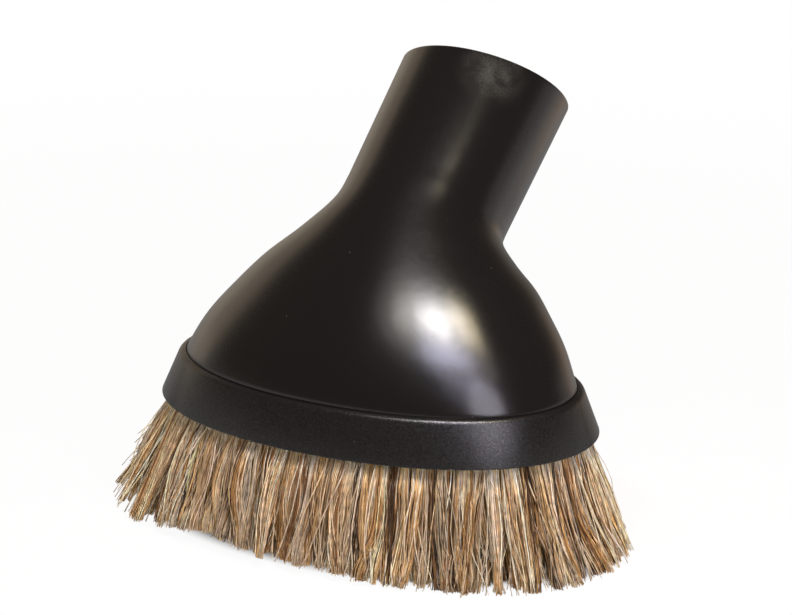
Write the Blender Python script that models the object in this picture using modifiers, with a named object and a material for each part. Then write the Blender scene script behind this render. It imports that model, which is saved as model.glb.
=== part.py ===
"""Dusting brush: an oval dome with a leaning round socket, a flared skirt band, and a ring of natural hair.

Metres, +Z up. The brush stands on its hair, the long axis of its oval is X, and the neck leans to +Y.
The pieces are built with the underside of the skirt band at z = 0 and the foot oval's centre at the origin.
At the end they are all moved together, so that the middle of their overall box's floor is the origin.
"""
import bisect
import math
import random

import bmesh
import bpy
from mathutils import Matrix, Vector

# Dome and neck
FOOT_HALF_LENGTH = 0.0429
FOOT_HALF_WIDTH = 0.0285
FOOT_OVAL_POWER = 2.08
SHELL_WALL = 0.0024
NECK_LEAN = math.radians(51.5)
NECK_BASE_BACK = 0.0174
NECK_BASE_HEIGHT = 0.0374
NECK_BASE_RADIUS = 0.01765
NECK_LENGTH = 0.0376
MOUTH_RADIUS = 0.0185
MOUTH_SLANT = math.radians(17)
LIP_ROUNDING = 0.0004

# Profile curves of the dome in the mirror plane
FRONT_LEAN = math.radians(17)
FRONT_RISE = 0.014
FRONT_RUN_IN = 0.012
BACK_RISE = 0.016
BACK_RUN_IN = 0.004
BACK_CORNER_ALONG_NECK = 0.006
# Shares of the dome's extra half-length that are left at equal steps from the foot to the neck
SHOULDER_SHARES = (1.0, 0.86, 0.67, 0.47, 0.22, 0.03, 0.0)

# Skirt band
BAND_HEIGHT = 0.0093
BAND_LEDGE = 0.0013
BAND_FLARE = 0.00375
BAND_WALL = 0.0014
BAND_TOP_ROUNDING = 0.0005
BAND_BOTTOM_ROUNDING = 0.0006

# Brush strip
CHANNEL_WIDTH = 0.0054
CHANNEL_HEIGHT = 0.0045
CHANNEL_SHEET = 0.0005
CHANNEL_RECESS = 0.0023
CHANNEL_END_GAP = 0.0012
WIRE_RADIUS = 0.0005
LIP_THICKNESS = 0.0008
LIP_REACH = 0.00073

# Clamp ring
CLAMP_WALL = 0.0015
SPIGOT_TOP = 0.0088

# Hair
HAIR_LENGTH = 0.024
HAIR_SECTORS = 18
TUFT_COLUMNS = 8
TUFT_ROWS = 3
TUFT_ROOT_RADIUS = 0.00055
TUFT_TIP_RADIUS = 0.00062
TUFT_SIDES = 3
TIP_SPREAD_SIDE = 0.009
TIP_SPREAD_END = 0.0121
TIP_SPREAD_INNER = 0.0035
TIP_TRIM = 0.0005
SHORT_TUFT_LOSS = 0.0011
SHORT_TUFT_SHARE = 0.25
JITTER_SHARE = 0.1
PACK_PROTRUSION = 0.0002
SLICE_GAP = 0.0006

# Fits and fineness
CLEARANCE = 0.0003
WELD_DISTANCE = 0.000001
CUT_OVERRUN = 0.002
AROUND_STEPS = 48
DOME_STEPS = 16
NECK_STEPS = 2
SWEEP_STEPS = 60
SECTOR_STEPS = 5
OVAL_SAMPLES = 1440
ROUNDING_STEPS = 2
SEED = 7

# Worked out from the sizes above
DRAFT = math.atan2(BAND_FLARE, BAND_HEIGHT)
NECK_AXIS = Vector((0, math.sin(NECK_LEAN), math.cos(NECK_LEAN)))
NECK_DOWN = Vector((0, math.cos(NECK_LEAN), -math.sin(NECK_LEAN)))
NECK_BASE = Vector((0, NECK_BASE_BACK, NECK_BASE_HEIGHT))
MOUTH_CENTRE = NECK_BASE + NECK_AXIS * NECK_LENGTH
MOUTH_NORMAL = (NECK_AXIS * math.cos(MOUTH_SLANT) - NECK_DOWN * math.sin(MOUTH_SLANT)).normalized()

parts = bpy.data.collections.new("dusting_brush")
cutters = bpy.data.collections.new("cutters")


def clear_scene():
    for item in list(bpy.data.objects):
        bpy.data.objects.remove(item)
    for collection in (parts, cutters):
        bpy.context.scene.collection.children.link(collection)


def material(name, colour, roughness, metallic=0.0):
    """A plain Principled material."""
    made = bpy.data.materials.new(name)
    made.use_nodes = True
    shader = made.node_tree.nodes["Principled BSDF"]
    shader.inputs["Base Color"].default_value = (*colour, 1.0)
    shader.inputs["Roughness"].default_value = roughness
    shader.inputs["Metallic"].default_value = metallic
    return made


# Points on the section of the brush strip
def slanted(across, along):
    """A section point (outward, up) from its place across and down the flared direction of the hair."""
    outward = across * math.cos(DRAFT) + along * math.sin(DRAFT)
    up = across * math.sin(DRAFT) - along * math.cos(DRAFT)
    return outward, up


def slanted_at_height(across, up):
    """The section point at one height on a line that runs down the flared direction."""
    along = (across * math.sin(DRAFT) - up) / math.cos(DRAFT)
    return slanted(across, along)


def slanted_at_outward(outward, along):
    """The section point at one outward distance on a line square to the flared direction."""
    across = (outward - along * math.sin(DRAFT)) / math.cos(DRAFT)
    return slanted(across, along)


BAND_FOOT = BAND_LEDGE + BAND_FLARE
BAND_OUTER_ACROSS = BAND_FOOT * math.cos(DRAFT)
BAND_INNER_ACROSS = BAND_OUTER_ACROSS - BAND_WALL
CHANNEL_OUTER = BAND_INNER_ACROSS - CLEARANCE
CHANNEL_INNER = CHANNEL_OUTER - CHANNEL_WIDTH
CHANNEL_MOUTH = -CHANNEL_RECESS
CHANNEL_TOP = CHANNEL_MOUTH - CHANNEL_HEIGHT
PACK_OUTER = CHANNEL_OUTER - CHANNEL_SHEET - CLEARANCE
PACK_INNER = CHANNEL_INNER + CHANNEL_SHEET + CLEARANCE
WIRE_ALONG = CHANNEL_TOP + CHANNEL_SHEET + CLEARANCE + WIRE_RADIUS
PACK_TOP = WIRE_ALONG + WIRE_RADIUS + CLEARANCE
LIP_TOP = CHANNEL_MOUTH + CLEARANCE
LIP_BOTTOM = LIP_TOP + LIP_THICKNESS
PACK_BOTTOM = LIP_TOP + PACK_PROTRUSION
FOOT_BOTTOM = slanted_at_outward(0, CHANNEL_TOP)[1] + CLEARANCE
CLAMP_OUTER = CHANNEL_INNER - CLEARANCE
CLAMP_INNER = CLAMP_OUTER - CLAMP_WALL
SPIGOT_OUTER = -SHELL_WALL - CLEARANCE
SPIGOT_INNER = SPIGOT_OUTER - CLAMP_WALL


# The foot oval
def oval_point(turn, half_length=FOOT_HALF_LENGTH, half_width=FOOT_HALF_WIDTH, power=FOOT_OVAL_POWER):
    """A point of a superellipse, for a turn in radians from +X."""
    cosine, sine = math.cos(turn), math.sin(turn)
    x = math.copysign(abs(cosine) ** (2 / power), cosine) * half_length
    y = math.copysign(abs(sine) ** (2 / power), sine) * half_width
    return Vector((x, y, 0))


def oval_normal(point):
    """The outward direction at a point of the foot oval."""
    x_share = point.x / FOOT_HALF_LENGTH
    y_share = point.y / FOOT_HALF_WIDTH
    x = math.copysign(abs(x_share) ** (FOOT_OVAL_POWER - 1), x_share) / FOOT_HALF_LENGTH
    y = math.copysign(abs(y_share) ** (FOOT_OVAL_POWER - 1), y_share) / FOOT_HALF_WIDTH
    return Vector((x, y, 0)).normalized()


def measure_oval():
    """Fine points of the foot oval, starting at the back, and the distance run up to each."""
    start = math.pi / 2
    points = [oval_point(start + 2 * math.pi * i / OVAL_SAMPLES) for i in range(OVAL_SAMPLES + 1)]
    run = [0.0]
    for before, after in zip(points, points[1:]):
        run.append(run[-1] + (after - before).length)
    return points, run


OVAL_POINTS, OVAL_RUN = measure_oval()
OVAL_LENGTH = OVAL_RUN[-1]


def oval_place(share, outward, up):
    """The point at a share of the way round the foot oval, at a distance out from it and a height."""
    target = (share % 1.0) * OVAL_LENGTH
    after = min(max(bisect.bisect_right(OVAL_RUN, target), 1), OVAL_SAMPLES)
    before = after - 1
    part = (target - OVAL_RUN[before]) / (OVAL_RUN[after] - OVAL_RUN[before])
    point = OVAL_POINTS[before].lerp(OVAL_POINTS[after], part)
    return point + oval_normal(point) * outward + Vector((0, 0, up))


# Building blocks
def poly_curve(name, runs, closed):
    """A curve object with one poly spline for each run of points."""
    curve = bpy.data.curves.new(name, "CURVE")
    curve.dimensions = "3D"
    for run in runs:
        spline = curve.splines.new("POLY")
        spline.points.add(len(run) - 1)
        for control, place in zip(spline.points, run):
            control.co = (*place, 1.0)
        spline.use_cyclic_u = closed
    return bpy.data.objects.new(name, curve)


def mesh_from_curve(curve_object, look):
    """The curve's evaluated surface as a welded mesh object that faces out."""
    parts.objects.link(curve_object)
    bpy.context.view_layer.update()
    graph = bpy.context.evaluated_depsgraph_get()
    mesh = bpy.data.meshes.new_from_object(curve_object.evaluated_get(graph))
    name = curve_object.name
    placed = curve_object.matrix_world.copy()
    bpy.data.objects.remove(curve_object)
    work = bmesh.new()
    work.from_mesh(mesh)
    bmesh.ops.remove_doubles(work, verts=work.verts, dist=WELD_DISTANCE)
    bmesh.ops.recalc_face_normals(work, faces=work.faces)
    work.to_mesh(mesh)
    work.free()
    mesh.materials.clear()
    mesh.materials.append(look)
    made = bpy.data.objects.new(name, mesh)
    made.matrix_world = placed
    parts.objects.link(made)
    return made


def shade(item, angle=math.radians(40)):
    item.data.shade_smooth()
    item.data.set_sharp_from_angle(angle=angle)


def sweep(name, section, look, first=0.0, last=1.0, steps=SWEEP_STEPS):
    """A section of (outward, up) points carried along the foot oval, all the way round or from first to last."""
    closed = last - first >= 1.0
    count = steps if closed else steps + 1
    middle = sum((Vector(point) for point in section), Vector((0, 0))) / len(section)
    route = [oval_place(first + (last - first) * i / steps, *middle) for i in range(count)]
    path = poly_curve(name, [route], closed)
    outline = poly_curve(name + "_section", [[(*(Vector(point) - middle), 0) for point in section]], True)
    outline.data.dimensions = "2D"
    cutters.objects.link(outline)
    path.data.twist_mode = "Z_UP"
    path.data.bevel_mode = "OBJECT"
    path.data.bevel_object = outline
    path.data.use_fill_caps = not closed
    made = mesh_from_curve(path, look)
    bpy.data.objects.remove(outline)
    return made


def rounded(corners):
    """A section outline from (point, radius) corners, each corner with a radius replaced by a short arc."""
    outline = []
    for i, (corner, radius) in enumerate(corners):
        if not radius:
            outline.append(corner)
            continue
        here = Vector(corner)
        back = (Vector(corners[i - 1][0]) - here).normalized()
        ahead = (Vector(corners[(i + 1) % len(corners)][0]) - here).normalized()
        half_angle = back.angle(ahead) / 2
        centre = here + (back + ahead).normalized() * radius / math.sin(half_angle)
        reach = radius / math.tan(half_angle)
        start = here + back * reach - centre
        end = here + ahead * reach - centre
        swing = start.angle_signed(end)
        for step in range(ROUNDING_STEPS + 1):
            turned = Matrix.Rotation(-swing * step / ROUNDING_STEPS, 2) @ start
            outline.append(tuple(centre + turned))
    return outline


def bezier(start, leave, arrive, end, share):
    rest = 1 - share
    return (start * rest ** 3 + leave * (3 * rest ** 2 * share)
            + arrive * (3 * rest * share ** 2) + end * share ** 3)


def eased(values, share):
    """A smooth curve through equally spaced values, level at its last one."""
    place = min(share * (len(values) - 1), len(values) - 1 - 1e-9)
    at = int(place)
    part = place - at
    before = values[at - 1] if at else 2 * values[0] - values[1]
    here, after = values[at], values[at + 1]
    beyond = values[min(at + 2, len(values) - 1)]
    return 0.5 * (2 * here + (after - before) * part
                  + (2 * before - 5 * here + 4 * after - beyond) * part ** 2
                  + (3 * here - before - 3 * after + beyond) * part ** 3)


# Body shell
def neck_side(sign, along):
    """A point of the neck's outline in the mirror plane: sign -1 on its upper side, 1 on its under side."""
    radius = NECK_BASE_RADIUS + (MOUTH_RADIUS - NECK_BASE_RADIUS) * along / NECK_LENGTH
    return NECK_BASE + NECK_AXIS * along + NECK_DOWN * (sign * radius)


def shell_ring(front, back, half_length, power):
    """A flat oval ring between a front and a back point of the mirror plane."""
    centre = (front + back) / 2
    reach = (back - front) / 2
    ring = []
    for step in range(AROUND_STEPS):
        unit = oval_point(2 * math.pi * step / AROUND_STEPS, 1, 1, power)
        ring.append(centre + Vector((half_length * unit.x, 0, 0)) + reach * unit.y)
    return ring


def shell_rings():
    """Rings of the shell's outer face, from its hidden foot over the dome and up the neck past the mouth."""
    foot_front = Vector((0, -FOOT_HALF_WIDTH, BAND_HEIGHT))
    foot_back = Vector((0, FOOT_HALF_WIDTH, BAND_HEIGHT))
    drop = Vector((0, 0, FOOT_BOTTOM - BAND_HEIGHT))
    rings = [shell_ring(foot_front + drop, foot_back + drop, FOOT_HALF_LENGTH, FOOT_OVAL_POWER)]
    neck_front = neck_side(-1, 0)
    neck_back = neck_side(1, BACK_CORNER_ALONG_NECK)
    front_leave = foot_front + Vector((0, math.sin(FRONT_LEAN), math.cos(FRONT_LEAN))) * FRONT_RISE
    back_leave = foot_back + Vector((0, 0, BACK_RISE))
    front_arrive = neck_front - NECK_AXIS * FRONT_RUN_IN
    back_arrive = neck_back - NECK_AXIS * BACK_RUN_IN
    for step in range(DOME_STEPS + 1):
        share = step / DOME_STEPS
        front = bezier(foot_front, front_leave, front_arrive, neck_front, share)
        back = bezier(foot_back, back_leave, back_arrive, neck_back, share)
        extra = FOOT_HALF_LENGTH - NECK_BASE_RADIUS
        half_length = NECK_BASE_RADIUS + extra * eased(SHOULDER_SHARES, share)
        power = FOOT_OVAL_POWER + (2 - FOOT_OVAL_POWER) * share
        rings.append(shell_ring(front, back, half_length, power))
    slant_reach = MOUTH_RADIUS * math.tan(MOUTH_SLANT)
    mouth_front = neck_side(-1, NECK_LENGTH - slant_reach + CUT_OVERRUN)
    mouth_back = neck_side(1, NECK_LENGTH + slant_reach + CUT_OVERRUN)
    for step in range(1, NECK_STEPS + 1):
        share = step / NECK_STEPS
        front = neck_front.lerp(mouth_front, share)
        back = neck_back.lerp(mouth_back, share)
        half_length = NECK_BASE_RADIUS + (MOUTH_RADIUS - NECK_BASE_RADIUS) * share
        rings.append(shell_ring(front, back, half_length, 2))
    return rings


def skin(name, rings):
    """An open surface of quads between rings of equal count, facing out."""
    mesh = bpy.data.meshes.new(name)
    vertices = [point for ring in rings for point in ring]
    count = len(rings[0])
    faces = []
    for level in range(len(rings) - 1):
        for step in range(count):
            beside = (step + 1) % count
            low, high = level * count, (level + 1) * count
            faces.append((low + step, low + beside, high + beside, high + step))
    mesh.from_pydata(vertices, [], faces)
    made = bpy.data.objects.new(name, mesh)
    parts.objects.link(made)
    return made


def make_body_shell(look):
    """The dome and neck: a skin thickened inward, with its mouth trimmed flat and its lip rounded."""
    shell = skin("body_shell", shell_rings())
    wall = shell.modifiers.new("wall", "SOLIDIFY")
    wall.thickness = SHELL_WALL
    wall.offset = -1
    bpy.context.view_layer.update()
    graph = bpy.context.evaluated_depsgraph_get()
    thick = bpy.data.meshes.new_from_object(shell.evaluated_get(graph))
    shell.modifiers.remove(wall)
    work = bmesh.new()
    work.from_mesh(thick)
    geometry = work.verts[:] + work.edges[:] + work.faces[:]
    trimmed = bmesh.ops.bisect_plane(work, geom=geometry, dist=WELD_DISTANCE, plane_co=MOUTH_CENTRE,
                                     plane_no=MOUTH_NORMAL, clear_outer=True)
    rims = [item for item in trimmed["geom_cut"] if isinstance(item, bmesh.types.BMEdge)]
    bmesh.ops.bridge_loops(work, edges=rims)
    bmesh.ops.bevel(work, geom=rims, offset=LIP_ROUNDING, segments=2, profile=0.5, affect="EDGES")
    bmesh.ops.recalc_face_normals(work, faces=work.faces)
    work.to_mesh(shell.data)
    work.free()
    bpy.data.meshes.remove(thick)
    shell.data.materials.append(look)
    shade(shell)
    return shell


# Skirt band and clamp ring
def make_skirt_band(look):
    """The flared ring outside the hair, with a land that grips the dome's foot and a lip under the channel."""
    land_bottom = (BAND_INNER_ACROSS - CLEARANCE * math.cos(DRAFT)) / math.sin(DRAFT)
    lip_edge = BAND_INNER_ACROSS - LIP_REACH
    corners = [
        ((BAND_FOOT, 0), BAND_BOTTOM_ROUNDING),
        ((BAND_LEDGE, BAND_HEIGHT), BAND_TOP_ROUNDING),
        ((CLEARANCE, BAND_HEIGHT), 0),
        ((CLEARANCE, land_bottom), 0),
        (slanted(BAND_INNER_ACROSS, LIP_TOP), 0),
        (slanted(lip_edge, LIP_TOP), 0),
        (slanted(lip_edge, LIP_BOTTOM), 0),
        (slanted_at_height(BAND_INNER_ACROSS, 0), 0),
    ]
    band = sweep("skirt_band", rounded(corners), look)
    shade(band)
    return band


def make_clamp_ring(look):
    """The ring inside the hair: a spigot up into the dome, a shelf over the channel, and a wall with a lip."""
    shelf_under = CHANNEL_TOP - CLEARANCE
    shelf_over = shelf_under - CLAMP_WALL
    lip_edge = CLAMP_OUTER + LIP_REACH
    section = [
        (SPIGOT_OUTER, SPIGOT_TOP),
        (SPIGOT_INNER, SPIGOT_TOP),
        slanted_at_outward(SPIGOT_INNER, shelf_over),
        slanted(CLAMP_INNER, shelf_over),
        slanted_at_height(CLAMP_INNER, 0),
        slanted_at_height(lip_edge, 0),
        slanted(lip_edge, LIP_TOP),
        slanted(CLAMP_OUTER, LIP_TOP),
        slanted(CLAMP_OUTER, shelf_under),
        slanted_at_outward(SPIGOT_OUTER, shelf_under),
    ]
    ring = sweep("clamp_ring", section, look)
    shade(ring)
    return ring


# Brush strip
def make_strip_channel(look):
    """The folded metal strip, open downward, with its ends a small gap apart at the back."""
    outer, inner = CHANNEL_OUTER, CHANNEL_INNER
    section = [
        slanted(inner, CHANNEL_MOUTH),
        slanted(inner, CHANNEL_TOP),
        slanted(outer, CHANNEL_TOP),
        slanted(outer, CHANNEL_MOUTH),
        slanted(outer - CHANNEL_SHEET, CHANNEL_MOUTH),
        slanted(outer - CHANNEL_SHEET, CHANNEL_TOP + CHANNEL_SHEET),
        slanted(inner + CHANNEL_SHEET, CHANNEL_TOP + CHANNEL_SHEET),
        slanted(inner + CHANNEL_SHEET, CHANNEL_MOUTH),
    ]
    end_share = CHANNEL_END_GAP / OVAL_LENGTH / 2
    channel = sweep("strip_channel", section, look, end_share, 1 - end_share)
    shade(channel)
    return channel


def make_core_wire(look):
    """The round wire along the top of the channel, as long as the channel."""
    outward, up = slanted((PACK_OUTER + PACK_INNER) / 2, WIRE_ALONG)
    end_share = CHANNEL_END_GAP / OVAL_LENGTH / 2
    span = 1 - 2 * end_share
    route = [oval_place(end_share + span * i / SWEEP_STEPS, outward, up) for i in range(SWEEP_STEPS + 1)]
    wire = poly_curve("core_wire", [route], False)
    wire.data.bevel_depth = WIRE_RADIUS
    wire.data.bevel_resolution = 1
    wire.data.use_fill_caps = True
    made = mesh_from_curve(wire, look)
    shade(made)
    return made


# Hair
def tip_spread(share):
    """How far out from the foot oval the hair's outer tips reach: most at the ends of the oval."""
    toward_end = abs(oval_normal(oval_place(share, 0, 0)).x)
    return TIP_SPREAD_SIDE + (TIP_SPREAD_END - TIP_SPREAD_SIDE) * toward_end ** 2


def tuft_route(share, row_share, column_pitch, chance):
    """Root and tip of one tuft, which spreads from its place in the pack to its place among the trimmed tips."""
    room = PACK_OUTER - PACK_INNER - 2 * TUFT_ROOT_RADIUS
    across = PACK_INNER + TUFT_ROOT_RADIUS + room * row_share
    root_out, root_up = slanted(across, PACK_BOTTOM - PACK_PROTRUSION - TUFT_ROOT_RADIUS)
    row_pitch = 1 / (TUFT_ROWS - 1)
    tip_row_share = min(max(row_share + row_pitch * JITTER_SHARE * chance.uniform(-1, 1), 0), 1)
    tip_out = TIP_SPREAD_INNER + (tip_spread(share) - TIP_SPREAD_INNER) * tip_row_share
    tip_up = -HAIR_LENGTH - TIP_TRIM
    if chance.random() < SHORT_TUFT_SHARE:
        tip_up += TIP_TRIM + SHORT_TUFT_LOSS * chance.random()
    tip_share = share + column_pitch * JITTER_SHARE * chance.uniform(-1, 1)
    return [oval_place(share, root_out, root_up), oval_place(tip_share, tip_out, tip_up)]


def tuft_routes(first, last, chance):
    """The roots and tips of all tufts between two shares of the way round."""
    column_pitch = (last - first) / TUFT_COLUMNS
    routes = []
    for column in range(TUFT_COLUMNS):
        share = first + column_pitch * (column + 0.5)
        for row in range(TUFT_ROWS):
            routes.append(tuft_route(share, row / (TUFT_ROWS - 1), column_pitch, chance))
    return routes


def make_tufts(name, routes, look):
    """Thin three-sided tubes that widen to their tips, trimmed flat at the hair's length."""
    tufts = poly_curve(name, routes, False)
    turn = 2 * math.pi / TUFT_SIDES
    root = TUFT_ROOT_RADIUS
    corners = [(math.cos(turn * i) * root, math.sin(turn * i) * root, 0) for i in range(TUFT_SIDES)]
    outline = poly_curve(name + "_section", [corners], True)
    outline.data.dimensions = "2D"
    cutters.objects.link(outline)
    tufts.data.bevel_mode = "OBJECT"
    tufts.data.bevel_object = outline
    tufts.data.use_fill_caps = True
    for spline in tufts.data.splines:
        spline.points[-1].radius = TUFT_TIP_RADIUS / TUFT_ROOT_RADIUS
    made = mesh_from_curve(tufts, look)
    bpy.data.objects.remove(outline)
    work = bmesh.new()
    work.from_mesh(made.data)
    geometry = work.verts[:] + work.edges[:] + work.faces[:]
    trimmed = bmesh.ops.bisect_plane(work, geom=geometry, dist=WELD_DISTANCE, plane_co=(0, 0, -HAIR_LENGTH),
                                     plane_no=(0, 0, -1), clear_outer=True)
    tips = [item for item in trimmed["geom_cut"] if isinstance(item, bmesh.types.BMEdge)]
    bmesh.ops.holes_fill(work, edges=tips)
    bmesh.ops.recalc_face_normals(work, faces=work.faces)
    work.to_mesh(made.data)
    work.free()
    return made


def make_hair_sector(index, look, chance):
    """One slice of the hair's root pack with its tufts grown into it."""
    name = f"hair_{index + 1:02d}"
    end_share = CHANNEL_END_GAP / OVAL_LENGTH / 2
    span = (1 - 2 * end_share) / HAIR_SECTORS
    slack = SLICE_GAP / OVAL_LENGTH / 2
    first = end_share + span * index + slack
    last = end_share + span * (index + 1) - slack
    section = [
        slanted(PACK_INNER, PACK_BOTTOM),
        slanted(PACK_INNER, PACK_TOP),
        slanted(PACK_OUTER, PACK_TOP),
        slanted(PACK_OUTER, PACK_BOTTOM),
    ]
    pack = sweep(name, section, look, first, last, SECTOR_STEPS)
    tufts = make_tufts(name + "_tufts", tuft_routes(first, last, chance), look)
    parts.objects.unlink(tufts)
    cutters.objects.link(tufts)
    tufts.hide_render = True
    tufts.display_type = "WIRE"
    grown = pack.modifiers.new("tufts", "BOOLEAN")
    grown.operation = "UNION"
    grown.object = tufts
    return pack


def stand_on_origin(pieces):
    """Moves the whole brush so that the middle of its box's floor is the origin."""
    bpy.context.view_layer.update()
    graph = bpy.context.evaluated_depsgraph_get()
    places = []
    for piece in pieces:
        seen = piece.evaluated_get(graph)
        places += [seen.matrix_world @ vertex.co for vertex in seen.data.vertices]
    low = [min(place[axis] for place in places) for axis in range(3)]
    high = [max(place[axis] for place in places) for axis in range(3)]
    stand = bpy.data.objects.new("stand", None)
    parts.objects.link(stand)
    for piece in list(parts.objects) + list(cutters.objects):
        if piece is not stand:
            piece.parent = stand
    stand.location = (-(low[0] + high[0]) / 2, -(low[1] + high[1]) / 2, -low[2])


def main():
    clear_scene()
    black_plastic = material("black_plastic", (0.013, 0.012, 0.012), 0.36)
    band_plastic = material("black_band_plastic", (0.015, 0.014, 0.014), 0.44)
    clamp_plastic = material("black_clamp_plastic", (0.013, 0.013, 0.013), 0.5)
    galvanised = material("galvanised_strip", (0.55, 0.56, 0.58), 0.4, 1.0)
    wire_steel = material("steel_wire", (0.5, 0.5, 0.5), 0.35, 1.0)
    pieces = [
        make_body_shell(black_plastic),
        make_skirt_band(band_plastic),
        make_clamp_ring(clamp_plastic),
        make_strip_channel(galvanised),
        make_core_wire(wire_steel),
    ]
    chance = random.Random(SEED)
    for index in range(HAIR_SECTORS):
        hair = material(f"natural_hair_{index + 1:02d}", (0.3, 0.2, 0.11), 0.6)
        pieces.append(make_hair_sector(index, hair, chance))
    stand_on_origin(pieces)


main()
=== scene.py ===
import math

import bmesh
import bpy
import numpy as np
from mathutils import Matrix, Vector


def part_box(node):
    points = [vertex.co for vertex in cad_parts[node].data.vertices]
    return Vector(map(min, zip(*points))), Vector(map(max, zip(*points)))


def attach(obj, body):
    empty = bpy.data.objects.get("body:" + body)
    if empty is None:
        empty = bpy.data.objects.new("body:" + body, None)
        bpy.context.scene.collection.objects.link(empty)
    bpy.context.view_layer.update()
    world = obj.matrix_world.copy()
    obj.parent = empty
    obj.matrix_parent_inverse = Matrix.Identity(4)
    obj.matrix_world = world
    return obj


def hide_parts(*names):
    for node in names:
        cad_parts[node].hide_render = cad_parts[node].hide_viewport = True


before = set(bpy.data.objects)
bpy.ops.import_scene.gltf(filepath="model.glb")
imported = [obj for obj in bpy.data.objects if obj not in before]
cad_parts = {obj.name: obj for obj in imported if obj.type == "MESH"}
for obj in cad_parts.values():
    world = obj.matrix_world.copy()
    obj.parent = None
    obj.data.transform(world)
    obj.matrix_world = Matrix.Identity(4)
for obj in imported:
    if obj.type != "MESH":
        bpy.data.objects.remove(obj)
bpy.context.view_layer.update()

MM = 0.001

# Dome and neck
FOOT_HALF_LENGTH = 42.9 * MM
FOOT_HALF_WIDTH = 28.5 * MM
FOOT_OVAL_POWER = 2.08
SHELL_WALL = 2.4 * MM
NECK_LEAN = math.radians(51.5)
NECK_BASE_BACK = 17.4 * MM
NECK_BASE_HEIGHT = 37.4 * MM
NECK_BASE_RADIUS = 17.65 * MM
NECK_LENGTH = 37.6 * MM
MOUTH_RADIUS = 18.5 * MM
MOUTH_SLANT = math.radians(17)
LIP_ROUNDING = 0.4 * MM
# Profile curves of the dome in the mirror plane
FRONT_LEAN = math.radians(17)
FRONT_RISE = 14 * MM
FRONT_RUN_IN = 12 * MM
BACK_RISE = 16 * MM
BACK_RUN_IN = 4 * MM
BACK_CORNER_ALONG_NECK = 6 * MM
# Shares of the dome's extra half-length that are left at equal steps from the foot to the neck
SHOULDER_SHARES = (1.0, 0.86, 0.67, 0.47, 0.22, 0.03, 0.0)
# Where the shell's foot ends, hidden behind the skirt
FOOT_BOTTOM = 6.3 * MM

# Skirt band
BAND_HEIGHT = 9.3 * MM
BAND_LEDGE = 1.3 * MM
BAND_FLARE = 3.75 * MM
BAND_WALL = 1.4 * MM
BAND_TOP_ROUNDING = 1.7 * MM
BAND_SEAM_GAP = 0.08 * MM
BAND_SEAM_DEPTH = 1.1 * MM
BAND_SEAM_ROUNDING = 0.15 * MM
BAND_BOTTOM_ROUNDING = 0.15 * MM

# Brush strip, as far as the hair and the band need it
CHANNEL_WIDTH = 5.4 * MM
CHANNEL_SHEET = 0.5 * MM
CHANNEL_RECESS = 2.3 * MM
CHANNEL_END_GAP = 1.2 * MM
PACK_HEIGHT = 3.1 * MM
PACK_PROTRUSION = 0.2 * MM
LIP_THICKNESS = 0.8 * MM
LIP_REACH = 0.73 * MM
CLEARANCE = 0.3 * MM

# Hair
HAIR_FALL = 24 * MM
FLOOR_CLEARANCE = 0.15 * MM
HAIR_BUNCHES = 18
HAIRS_PER_BUNCH = 1250
HAIR_RINGS = 9
HAIR_SIDES = 3
# Real horsehair is 0.1 to 0.2 mm thick. It is drawn a little thicker, so that single hairs still show.
HAIR_RADII = (0.08 * MM, 0.15 * MM)
STRAY_RADIUS_GAIN = 1.25
HAIR_TIP_SHARE = 0.8
HAIR_LENGTH = 29.3 * MM
TIP_SPREAD_SIDE = 10.6 * MM
TIP_SPREAD_END = 12.6 * MM
TIP_SPREAD_INNER = 3.5 * MM
TIP_SPREAD_PROUD = 0.6 * MM
LEFT_SPLAY = 1.5 * MM
LEFT_LIFT = 10 * MM
LOCKS = 96
LOCK_SWAY = 1.1 * MM
LOCK_PULL = 0.4
WISPS = 560
WISP_SWAY = 1.2 * MM
WISP_PROUD = 0.6 * MM
WISP_BOW = 0.65 * MM
# How strongly a wisp gathers the hairs round it, and how far it pulls their tips to its own
WISP_GRIPS = (0.6, 1.5)
WISP_PULLS = (0.4, 0.78)
HAIR_JITTER = 0.3 * MM
HAIR_BOW = 0.38 * MM
END_BOW_LOSS = 1.1 * MM
HAIR_LEAN_SPREAD = 0.04
# How far down a hair its root and its tip steer its curve
ROOT_STEER_SHARE = 0.35
TIP_STEER_SHARE = 0.28
TIP_STEER_GAIN = 1.3
HEM_BULGE = 1.1 * MM
HEM_BULGE_DEPTH = 2.2 * MM
HEM_BULGE_END_LOSS = 0.7
STRAY_SHARE = 0.06
STRAY_SWAY = 3.4 * MM
STRAY_BOW_GAIN = 2.4
SHORT_HAIR_SHARE = 0.09
SHORT_HAIR_LOSS = 1.1 * MM
TIP_LOSS = 0.12 * MM
LIFT_POWER = 1.4
# The pack is drawn in this many steps a bunch. Roots keep this share of its width clear at either side.
PACK_STEPS = 8
PACK_MARGIN_SHARE = 0.04
# At the back, each end of the hair ring stops at the strip's end gap divided by this.
HAIR_GAP_PART = 5
# How far the tips stand off the floor along the worn front left, at shares of the way round from the back
WORN_SHARES = (0.335, 0.375, 0.417, 0.458, 0.5, 0.542, 0.583, 0.625, 0.667)
WORN_TIPS = (0, 1.9 * MM, 3.5 * MM, 2.1 * MM, 1.8 * MM, 1.3 * MM, 0.6 * MM, 0, 0)
# How much further the hair splays at the front corners, at shares of the way round from the back
SPLAY_SHARES = (0.25, 0.292, 0.33, 0.36, 0.42, 0.54, 0.62, 0.66, 0.70, 0.74, 0.79)
SPLAY_EXTRA = (0, 0.2 * MM, 2.7 * MM, 1 * MM, -0.6 * MM, -0.6 * MM, 0, 1.6 * MM, 2.4 * MM, 0.8 * MM, 0.4 * MM)

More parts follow.
